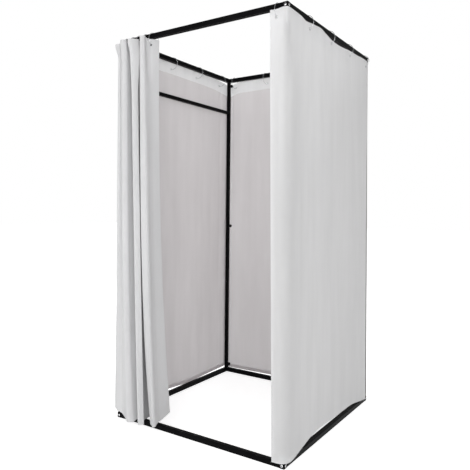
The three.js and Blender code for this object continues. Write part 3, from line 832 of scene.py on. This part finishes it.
RIGHT_TOP = (
    (-0.09, 1.975), (-0.05, 1.973), (-0.02, 1.977), (0, 1.976), (0.062, 1.974), (0.122, 1.971),
    (0.167, 1.964), (0.245, 1.971), (0.351, 1.975), (0.394, 1.966), (0.484, 1.954), (0.581, 1.954),
    (0.681, 1.963), (0.80, 1.967), (0.906, 1.973), (1.0, 1.972),
)
RIGHT_FOOT = (
    (-0.09, 0.018), (-0.04, 0.024), (0, 0.025), (0.066, 0.026), (0.132, 0.036), (0.202, 0.049),
    (0.341, 0.060), (0.434, 0.060), (0.60, 0.058), (0.736, 0.052), (0.855, 0.032), (0.959, 0.016),
    (1.0, 0.014),
)

# The right curtain's free edge across the front and its corner's radius, at the top and at the foot, its
# distance from the back, and how much shorter a round corner is than a square one, by its radius
STRIP_EDGE = (0.915, 0.944)
CORNER_RADIUS = (0.011, 0.036)
BACK_GAP = 0.024
CORNER_SAVING = 2 - np.pi / 2
# The corner widens over this share of the drop, and bulges by this share of that over this length.
CORNER_SLACK = (0.02, 0.2)
BULGE_SHARE, BULGE_LENGTH = 0.45, 0.08
# The folds set in over this length behind the corner.
FOLDS_START = 0.12


def corner_path(along, out, edge, radius):
    """The right curtain's plan: from the free edge across the front, round a quarter circle at the
    corner post, then back along the side. out is added square to the path. Returns x and y."""
    plane_x = WIDTH + CLOTH_OFFSET
    front = plane_x - radius - edge
    turned = np.clip((along - front) / radius, 0, np.pi / 2)
    past = np.maximum(along - front - radius * np.pi / 2, 0)
    x = np.where(along < front, edge + along, plane_x - radius + (radius + out) * np.sin(turned))
    round_y = radius - (radius + out) * np.cos(turned) + past
    return x, np.where(along < front, -out, round_y) - CLOTH_OFFSET


def hang_right_curtain():
    """Hangs the right curtain, whose free edge and corner drift from the top to the foot. What the strip
    and the corner take less of the cloth there is spread over its whole length."""
    look = bpy.context.scene.fitting_room_curtain
    rings = ring_places()
    strip_ring, *side_rings = (rings[name][0] for name in ring_names("right"))
    places = [at[1] - FRONT for at in side_rings]
    height = CLOTH_TOP - CLOTH_FOOT
    length = WIDTH - STRIP_EDGE[0] + DEPTH - BACK_GAP - CORNER_RADIUS[0] * CORNER_SAVING
    u, v = cloth_levels(length, height, STEP_DOWN)
    drop = v / height
    edge = mix(*STRIP_EDGE, drop)
    radius = mix(*CORNER_RADIUS, smooth(*CORNER_SLACK, drop))
    widened = radius - CORNER_RADIUS[0]
    run = u * (length - (edge - STRIP_EDGE[0]) - widened * CORNER_SAVING) / length
    side = run - (WIDTH - edge)
    z = mix(through(RIGHT_TOP, side), through(RIGHT_FOOT, side), drop)
    seed = look.seed + SEEDS["right"]
    broad, fine = soft_folds(seed, side, v, z, places, look.wall_folds)[:2]
    out = np.maximum((broad + fine) * smooth(0.0, FOLDS_START, side), -INWARDS)
    out += BULGE_SHARE * widened * hump(side, BULGE_LENGTH)
    x, y = corner_path(run, out, edge, radius)
    made = cloth_shell("right_curtain", room(x, y, z), u, v, "face", "lining_painted_shade")
    spots = [(room(strip_ring[0] - LEFT, -CLOTH_OFFSET, EYELET_HEIGHT), OUTWARD["front"])]
    spots += [(room(WIDTH + CLOTH_OFFSET, at, EYELET_HEIGHT), OUTWARD["right"]) for at in places]
    finish_wall(made, "right", spots)


# Front curtain

def stretch(
    points, top, foot, steady, half=(0, 0), bow=0.0, fan=0, flare=(0, 0), lift=(0, 0), line=None, turn=0
):
    """One stretch of the gathered cloth, with lengths in millimetres. top and foot are the places of its
    middle in plan, steady is how much of its drift to the foot comes evenly on the way down, half is its
    half width at the top and at the foot, and bow how far its ends stand back, as a share of that. fan
    widens it and flare shifts it at the top, lift raises the top edge and the hem, turn swings it in plan,
    and line gives the shares of the way from the stretch before to the leading edge that its points take
    up below the header."""
    return {
        "points": points, "top": np.array(top) * MM, "foot": np.array(foot) * MM, "steady": steady,
        "half": np.array(half) * MM, "bow": bow, "fan": fan * MM, "flare": np.array(flare) * MM,
        "lift": np.array(lift) * MM, "line": line, "turn": np.radians(turn),
    }


def crown(ring, foot, steady, **more):
    """The flat stretch that carries the eyelet of a ring, counted from 0."""
    x = (FIRST_RING + ring * RING_PITCH) / MM
    return stretch(2, (x, -CLOTH_OFFSET / MM), foot, steady, half=(7.5, 1.5), **more)


def tip(top, foot, steady):
    """The round end of a fold."""
    return stretch(3, top, foot, steady, half=(3.5, 7), bow=1.0)


# The stretches from the far edge to the leading one
BUNDLE = (
    stretch(1, (-3, -24), (-26, 28), 0.3, flare=(-25, 0), lift=(2, 16)),
    stretch(1, (15, -29), (-6, -12), 0.3, flare=(-12, 0), lift=(0, 26)),
    crown(0, (44, -14), 1.0, lift=(4, 10)),
    stretch(5, (51, -50), (146, -70), 0.6, half=(20, 22), bow=0.65, flare=(-6, 0), lift=(9, 3)),
    stretch(1, (65, -14), (168, -30), 0.6, flare=(-8, 0), lift=(0, 8)),
    tip((57, 58), (170, 18), 0.95),
    crown(1, (179.5, -4), 0.9),
    stretch(
        5, (128, -52), (223, -65), 0.9, half=(17, 15), bow=0.65, fan=12, flare=(-15, 0), lift=(3, 4),
        turn=35,
    ),
    stretch(1, (111, -16), (203, -30), 0.9),
    tip((99, 58), (194, 56), 0.75),
    crown(2, (212, 35), 0.7),
    tip((138, 58), (221, 68), 0.55),
    tip((147, -5), (232, 31), 0.6),
    tip((156, 58), (246, 68), 0.5),
    crown(3, (257.5, 38), 0.5),
    stretch(1, (169, -42), (246, -10), 0.4, lift=(10, 0)),
    stretch(3, (196, -50), (293, -48), 0.8, half=(6, 8), bow=1.1, lift=(6, 3)),
    stretch(1, (199, -26), (284, -14), 0.8, lift=(-1, 15), line=(0.3,)),
    crown(4, (285, 1), 0.8, lift=(-5, 21), line=(0.47, 0.57), turn=45),
)
LEAD = stretch(1, (240, 26), (318, 54), 0.4, lift=(-9, 50))
# The stretches whose tips move in or out to take up cloth, and how often they are set right
INNER_TIPS = (5, 9, 11, 13)
LEVELLINGS = 4
# How hollow the line to the leading edge is, and how much smaller its points' shares are at the foot
LEAD_HOLLOW = 0.0045
LEAD_SHRINK = 0.4
# Shares of the drop: where a flare, the top edge's lift and a fan have faded out, over which the line to
# the leading edge sets in, and from which the hem's lift does
FLARE_DROP, LIFT_DROP, FAN_DROP = 0.045, 0.09, 0.15
LINE_DROP = (0.03, 0.15)
HEM_DROP = 0.3
# Columns of cloth for each metre, and the least number between two control points
COLUMNS_PER_METRE, LEAST_COLUMNS = 160, 5


def stretch_middle(row, drop):
    """The middle of a stretch in plan at each share of the drop. What doesn't come evenly of its drift
    comes with the fourth power of the drop."""
    drift = mix(drop**4, drop, row["steady"])[:, None]
    return mix(row["top"], row["foot"], drift) + row["flare"] * (1 - smooth(0.0, FLARE_DROP, drop))[:, None]


def stretch_height(row, drop):
    """The height of a stretch at each share of the drop, with its top edge and its hem lifted."""
    top, hem = row["lift"]
    lifted = top * (1 - smooth(0.0, LIFT_DROP, drop)) + hem * smooth(HEM_DROP, 1.0, drop)
    return mix(FRONT_CLOTH_TOP, CLOTH_FOOT, drop) + lifted


def bundle_points(drop, inwards):
    """The control points of the gathered cloth at each share of the drop: points by rows by (x, y, z).
    inwards is how much further the inner tips reach into the room in each row."""
    below_header = smooth(*LINE_DROP, drop)[:, None]
    lead = np.column_stack([mix(LEAD["top"][0], LEAD["foot"][0], drop**2), stretch_middle(LEAD, drop)[:, 1]])
    found = []
    for index, row in enumerate(BUNDLE):
        centre = stretch_middle(row, drop)
        if index in INNER_TIPS:
            centre[:, 1] += inwards
        half = mix(*row["half"], drop) + row["fan"] * (1 - smooth(0.0, FAN_DROP, drop))
        outwards = np.sign(-CLOTH_OFFSET - row["top"][1])
        sides = np.linspace(-1, 1, row["points"]) if row["points"] > 1 else (0,)
        for number, side in enumerate(sides):
            x = centre[:, 0] + side * half * np.cos(row["turn"])
            y = centre[:, 1] + side * half * np.sin(row["turn"]) + outwards * row["bow"] * half * side**2
            point = np.column_stack([x, y])
            if row["line"] is None:
                before = point
            else:
                share = row["line"][number] * (1 - LEAD_SHRINK * drop)[:, None]
                ahead = (lead - before) / np.linalg.norm(lead - before, axis=1)[:, None]
                aside = np.column_stack([-ahead[:, 1], ahead[:, 0]])
                hollow = 4 * LEAD_HOLLOW * share * (1 - share) * aside
                point = mix(point, mix(before, lead, share) + hollow, below_header)
            found.append(np.column_stack([point, stretch_height(row, drop)]))
    found.append(np.column_stack([lead, stretch_height(LEAD, drop)]))
    return np.stack(found)


def bundle_curve(knots):
    """A smooth curve through each row's points, rows by columns: cubic pieces on the square roots of the
    chords. Every row is cut at the same shares of the same pieces."""
    chord = np.diff(knots, axis=0)
    step = (np.linalg.norm(chord, axis=2) ** 0.5 + 1e-9)[..., None]
    slope = slopes(step, chord / step)
    longest = (step[..., 0] ** 2).max(axis=1)
    counts = np.maximum(np.ceil(longest * COLUMNS_PER_METRE), LEAST_COLUMNS).astype(int)
    piece = np.append(np.repeat(np.arange(len(counts)), counts), len(counts) - 1)
    share = np.append(np.concatenate([np.arange(n) / n for n in counts]), 1.0)[:, None, None]
    ends = (knots[piece], knots[piece + 1], slope[piece], slope[piece + 1])
    return cubic(share, step[piece], *ends).swapaxes(0, 1)


def path_length(plan):
    """The length of the cloth's path up to each point, row by row."""
    step = np.linalg.norm(np.diff(plan, axis=1), axis=2)
    return np.concatenate([np.zeros((len(plan), 1)), np.cumsum(step, axis=1)], axis=1)


def bundle_plan(drop):
    """The gathered cloth's path in each row, with its inner tips moved in or out until every row is as
    long as the cloth: each tip takes up twice its shift."""
    inwards = np.zeros_like(drop)
    for _ in range(LEVELLINGS):
        plan = bundle_curve(bundle_points(drop, inwards))
        inwards += (CLOTH_WIDTH - path_length(plan)[:, -1]) / (2 * len(INNER_TIPS))
    return plan


def hang_front_curtain():
    """Hangs the gathered front curtain and sets its eyelets."""
    height = FRONT_CLOTH_TOP - CLOTH_FOOT
    down = cloth_levels(CLOTH_WIDTH, height, FRONT_STEP_DOWN)[1][:, 0]
    plan = bundle_plan(down / height)
    length = path_length(plan)
    u = CLOTH_WIDTH * length / length[:, -1:]
    v = np.repeat(down[:, None], plan.shape[1], axis=1)
    made = cloth_shell("front_curtain", room(*np.moveaxis(plan, -1, 0)), u, v, "folded", "folded_lining_painted_shade")
    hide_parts("curtain_front")
    names = ring_names("front")
    rings = ring_places()
    crowns = [row for row in BUNDLE if row["points"] == 2]
    for i, (name, row) in enumerate(zip(names, crowns)):
        at = room(FIRST_RING + i * RING_PITCH, -CLOTH_OFFSET, EYELET_HEIGHT)
        normal = (np.sin(row["turn"]), -np.cos(row["turn"]), 0)
        # The front eyelets are not cut through; a black disc in each is painted shade of the hole
        add_eyelet(name.replace("ring", "eyelet"), at, normal, rings[name][2], painted_shade=True)
    start = room(FIRST_RING, 0, EYELET_HEIGHT)
    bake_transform(made)


# Stage

FLOOR_REACH = 30.0
FLOOR_LEVEL = -0.0005
FLOOR_GLOW = 0.74
LAMP_SIZE = 3.0
LAMPS = {"key": (-1.2, -5.0, 1.8), "fill": (3.2, -4.2, 1.7), "rear": (-3.0, 3.4, 3.0)}

# The camera: its place in room coordinates, yaw, pitch and roll in degrees, its focal length and centre
# in pixels of a picture this wide, and its sensor's width in millimetres
CAMERA_AT = (2.065, -1.974, 1.095)
CAMERA_TURNS = (-33.43, -1.03, 0.54)
CAMERA_FOCAL = 523.3
CAMERA_CENTRE = (239.7, 201.2)
CAMERA_PICTURE = 470
CAMERA_SENSOR = 36


def add_floor():
    """A plain white floor that shows to the camera as white and keeps the object's soft shadow."""
    marks = np.linspace(-FLOOR_REACH, FLOOR_REACH, 3)
    x, y = np.meshgrid(marks, marks)
    points = np.stack([x.ravel(), y.ravel(), np.full(x.size, FLOOR_LEVEL)], axis=1)
    material, tree, shader = new_material("studio_floor")
    set_inputs(shader, {"Roughness": 1.0, "Specular IOR Level": 0.0, "Emission Color": (1, 1, 1, 1)})
    grain = noise_node(tree, tree.nodes.new("ShaderNodeTexCoord").outputs["Object"], 2.0, detail=3.0)
    tree.links.new(ramp(tree, grain, (0.80, 0.80, 0.80), (0.81, 0.81, 0.81)), shader.inputs["Base Color"])
    path = tree.nodes.new("ShaderNodeLightPath")
    seen = math_node(tree, "MAXIMUM", path.outputs["Is Camera Ray"], path.outputs["Is Glossy Ray"])
    glow = math_node(tree, "MULTIPLY", seen, FLOOR_GLOW)
    tree.links.new(glow, shader.inputs["Emission Strength"])
    mesh_object("floor", points, grid_faces(3, 3).tolist(), (material,), sharp=0.6)


def light_room(scene):
    """An even pale surround, white where the camera looks at it, and three soft lamps aimed at the middle
    of the room."""
    look = scene.fitting_room_stage
    world = bpy.data.worlds.new("pale_studio")
    scene.world = world
    world.use_nodes = True
    tree = world.node_tree
    tree.nodes.clear()
    output = tree.nodes.new("ShaderNodeOutputWorld")
    background = tree.nodes.new("ShaderNodeBackground")
    path = tree.nodes.new("ShaderNodeLightPath")
    seen = math_node(tree, "MAXIMUM", path.outputs["Is Camera Ray"], path.outputs["Is Transmission Ray"])
    tree.links.new(span(tree, seen, look.world, 1.0), background.inputs["Strength"])
    set_inputs(background, {"Color": (1, 1, 1, 1)})
    tree.links.new(background.outputs[0], output.inputs["Surface"])
    for name, at in LAMPS.items():
        data = bpy.data.lights.new(f"{name}_lamp", "AREA")
        data.size = LAMP_SIZE
        data.energy = getattr(look, name)
        lamp = bpy.data.objects.new(f"{name}_lamp", data)
        scene.collection.objects.link(lamp)
        aim = Vector((0, 0, TOP / 2)) - Vector(at)
        lamp.matrix_world = Matrix.Translation(at) @ aim.to_track_quat("-Z", "Y").to_matrix().to_4x4()


def add_camera(scene):
    """The camera at the photograph's viewpoint: its axes from yaw, pitch and roll, and its lens and shift
    from the focal length and the centre in pixels."""
    yaw, pitch, roll = np.radians(CAMERA_TURNS)
    forward = np.array((np.sin(yaw) * np.cos(pitch), np.cos(yaw) * np.cos(pitch), -np.sin(pitch)))
    right = np.array((np.cos(yaw), -np.sin(yaw), 0))
    up = np.cross(right, forward)
    turned_right = right * np.cos(roll) + up * np.sin(roll)
    turned_up = -right * np.sin(roll) + up * np.cos(roll)
    data = bpy.data.cameras.new("photo_camera")
    data.sensor_width = CAMERA_SENSOR
    data.lens = CAMERA_FOCAL * CAMERA_SENSOR / CAMERA_PICTURE
    data.shift_x = (CAMERA_PICTURE / 2 - CAMERA_CENTRE[0]) / CAMERA_PICTURE
    data.shift_y = (CAMERA_CENTRE[1] - CAMERA_PICTURE / 2) / CAMERA_PICTURE
    data.clip_end = 100
    camera = bpy.data.objects.new("photo_camera", data)
    scene.collection.objects.link(camera)
    matrix = np.eye(4)
    matrix[:3] = np.column_stack([turned_right, turned_up, -forward, room(*CAMERA_AT)])
    camera.matrix_world = Matrix(matrix.tolist())
    scene.camera = camera


# Settings

class FittingRoomFinish(PropertyGroup):
    """Colours of the part, as scene-linear values."""

    cloth: FloatVectorProperty(
        name="Cloth face", description="Outer face of the curtains", subtype="COLOR",
        default=linear(222, 222, 223),
    )
    # The curtains' inner face colour is the cloth darkened: painted shade of the room's inside
    lining_painted_shade: FloatVectorProperty(
        name="Cloth lining", description="Inner face of the curtains", subtype="COLOR",
        default=linear(205, 201, 202),
    )
    coat: FloatVectorProperty(
        name="Powder coat", description="Tubes and corner blocks", subtype="COLOR",
        default=linear(10, 10, 11),
    )
    knob: FloatVectorProperty(
        name="Knob plastic", description="Thumb knobs", subtype="COLOR", default=linear(15, 15, 16)
    )
    wire: FloatVectorProperty(
        name="Ring wire", description="Rings and eyelets", subtype="COLOR", default=linear(205, 206, 208)
    )
    bolt: FloatVectorProperty(
        name="Bolt plate", description="Corner bolts", subtype="COLOR", default=linear(232, 232, 233)
    )


class FittingRoomCurtain(PropertyGroup):
    """Sizes of the curtains."""

    header: FloatProperty(
        name="Header band", description="Height of the turned-in band", unit="LENGTH", default=0.075
    )
    wall_folds: FloatProperty(
        name="Wall folds", description="Depth of the walls' soft folds", unit="LENGTH", default=0.003
    )
    seed: IntProperty(name="Fold seed", description="Which folds the walls have", default=7)


class FittingRoomStage(PropertyGroup):
    """The stage's light."""

    key: FloatProperty(name="Key light", description="Power in front", unit="POWER", default=60.0)
    fill: FloatProperty(name="Fill light", description="Power at the right", unit="POWER", default=120.0)
    rear: FloatProperty(name="Rear light", description="Power behind", unit="POWER", default=160.0)
    world: FloatProperty(name="Room light", description="Strength of the light all round", default=0.456)


# Steps

class FITTINGROOM_OT_coat_frame(Operator):
    """Gives the tubes, corner blocks and hanging bar their powder coat"""

    bl_idname = "fitting_room.coat_frame"
    bl_label = "Coat Frame"

    def execute(self, context):
        for name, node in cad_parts.items():
            if name.startswith(("corner_", "post_", "beam_", "hanging_bar")):
                node.data.materials.clear()
                node.data.materials.append(finishes()["coat"])
        return {"FINISHED"}


class FITTINGROOM_OT_bolt_heads(Operator):
    """Sets a plated domed head over each corner bolt"""

    bl_idname = "fitting_room.bolt_heads"
    bl_label = "Add Bolt Heads"

    def execute(self, context):
        for side, x, outward in (("left", LEFT, -1), ("right", RIGHT, 1)):
            for row, y, forward in (("front", FRONT, -1), ("back", BACK, 1)):
                for level, z in (("bottom", TUBE / 2), ("top", TOP - TUBE / 2)):
                    name = f"bolt_head_{row}_{side}_{level}"
                    add_bolt_head(f"{name}_x", (x, y - forward * TUBE / 2, z), (outward, 0, 0))
                    add_bolt_head(f"{name}_y", (x - outward * TUBE / 2, y, z), (0, forward, 0))
        return {"FINISHED"}


class FITTINGROOM_OT_knobs(Operator):
    """Replaces each thumb knob with a finely moulded one"""

    bl_idname = "fitting_room.knobs"
    bl_label = "Add Thumb Knobs"

    def execute(self, context):
        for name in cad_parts:
            if name.startswith("knob_"):
                add_knob(name)
        return {"FINISHED"}


class FITTINGROOM_OT_rings(Operator):
    """Hangs a round wire ring over a beam at each eyelet"""

    bl_idname = "fitting_room.rings"
    bl_label = "Add Rings"

    def execute(self, context):
        for name, place in ring_places().items():
            add_ring(name, *place)
        return {"FINISHED"}


class FITTINGROOM_OT_left_curtain(Operator):
    """Hangs the left wall curtain"""

    bl_idname = "fitting_room.left_curtain"
    bl_label = "Hang Left Curtain"

    def execute(self, context):
        hang_wall("left", (0, 0), DEPTH, LEFT_TOP, LEFT_FOOT, LEFT_CREASES)
        return {"FINISHED"}


class FITTINGROOM_OT_back_curtain(Operator):
    """Hangs the back wall curtain"""

    bl_idname = "fitting_room.back_curtain"
    bl_label = "Hang Back Curtain"

    def execute(self, context):
        hang_wall("back", (0, DEPTH), WIDTH, BACK_TOP, BACK_FOOT, BACK_CREASES)
        return {"FINISHED"}


class FITTINGROOM_OT_right_curtain(Operator):
    """Hangs the right curtain, which turns the front corner and ends in a strip"""

    bl_idname = "fitting_room.right_curtain"
    bl_label = "Hang Right Curtain"

    def execute(self, context):
        hang_right_curtain()
        return {"FINISHED"}


class FITTINGROOM_OT_front_curtain(Operator):
    """Hangs the front curtain, gathered at the left on its five rings"""

    bl_idname = "fitting_room.front_curtain"
    bl_label = "Hang Front Curtain"

    def execute(self, context):
        hang_front_curtain()
        return {"FINISHED"}


class FITTINGROOM_OT_stage(Operator):
    """Sets up the floor, the light and the camera"""

    bl_idname = "fitting_room.stage"
    bl_label = "Set Up Stage"

    def execute(self, context):
        scene = context.scene
        scene.view_settings.view_transform = "Standard"
        add_floor()
        light_room(scene)
        add_camera(scene)
        return {"FINISHED"}


OPERATORS = (
    FITTINGROOM_OT_coat_frame,
    FITTINGROOM_OT_bolt_heads,
    FITTINGROOM_OT_knobs,
    FITTINGROOM_OT_rings,
    FITTINGROOM_OT_left_curtain,
    FITTINGROOM_OT_back_curtain,
    FITTINGROOM_OT_right_curtain,
    FITTINGROOM_OT_front_curtain,
    FITTINGROOM_OT_stage,
)
SETTINGS = {
    "fitting_room_finish": FittingRoomFinish,
    "fitting_room_curtain": FittingRoomCurtain,
    "fitting_room_stage": FittingRoomStage,
}


class FITTINGROOM_PT_panel(Panel):
    """Lists the settings and the steps that dress the fitting room"""

    bl_label = "Fitting Room"
    bl_idname = "FITTINGROOM_PT_panel"
    bl_space_type = "VIEW_3D"
    bl_region_type = "UI"
    bl_category = "Fitting Room"

    def draw(self, context):
        for group in SETTINGS:
            settings = getattr(context.scene, group)
            box = self.layout.box()
            for name in settings.bl_rna.properties.keys():
                if name not in ("rna_type", "name"):
                    box.prop(settings, name)
        for operator in OPERATORS:
            self.layout.operator(operator.bl_idname)


def register():
    for name, group in SETTINGS.items():
        bpy.utils.register_class(group)
        setattr(bpy.types.Scene, name, PointerProperty(type=group))
    for made in (*OPERATORS, FITTINGROOM_PT_panel):
        bpy.utils.register_class(made)


def unregister():
    for made in reversed((*OPERATORS, FITTINGROOM_PT_panel)):
        bpy.utils.unregister_class(made)
    for name, group in SETTINGS.items():
        delattr(bpy.types.Scene, name)
        bpy.utils.unregister_class(group)


def main():
    """Registers the classes and runs every step."""
    register()
    for operator in OPERATORS:
        module, name = operator.bl_idname.split(".")
        getattr(getattr(bpy.ops, module), name)()


if __name__ == "__main__":
    main()
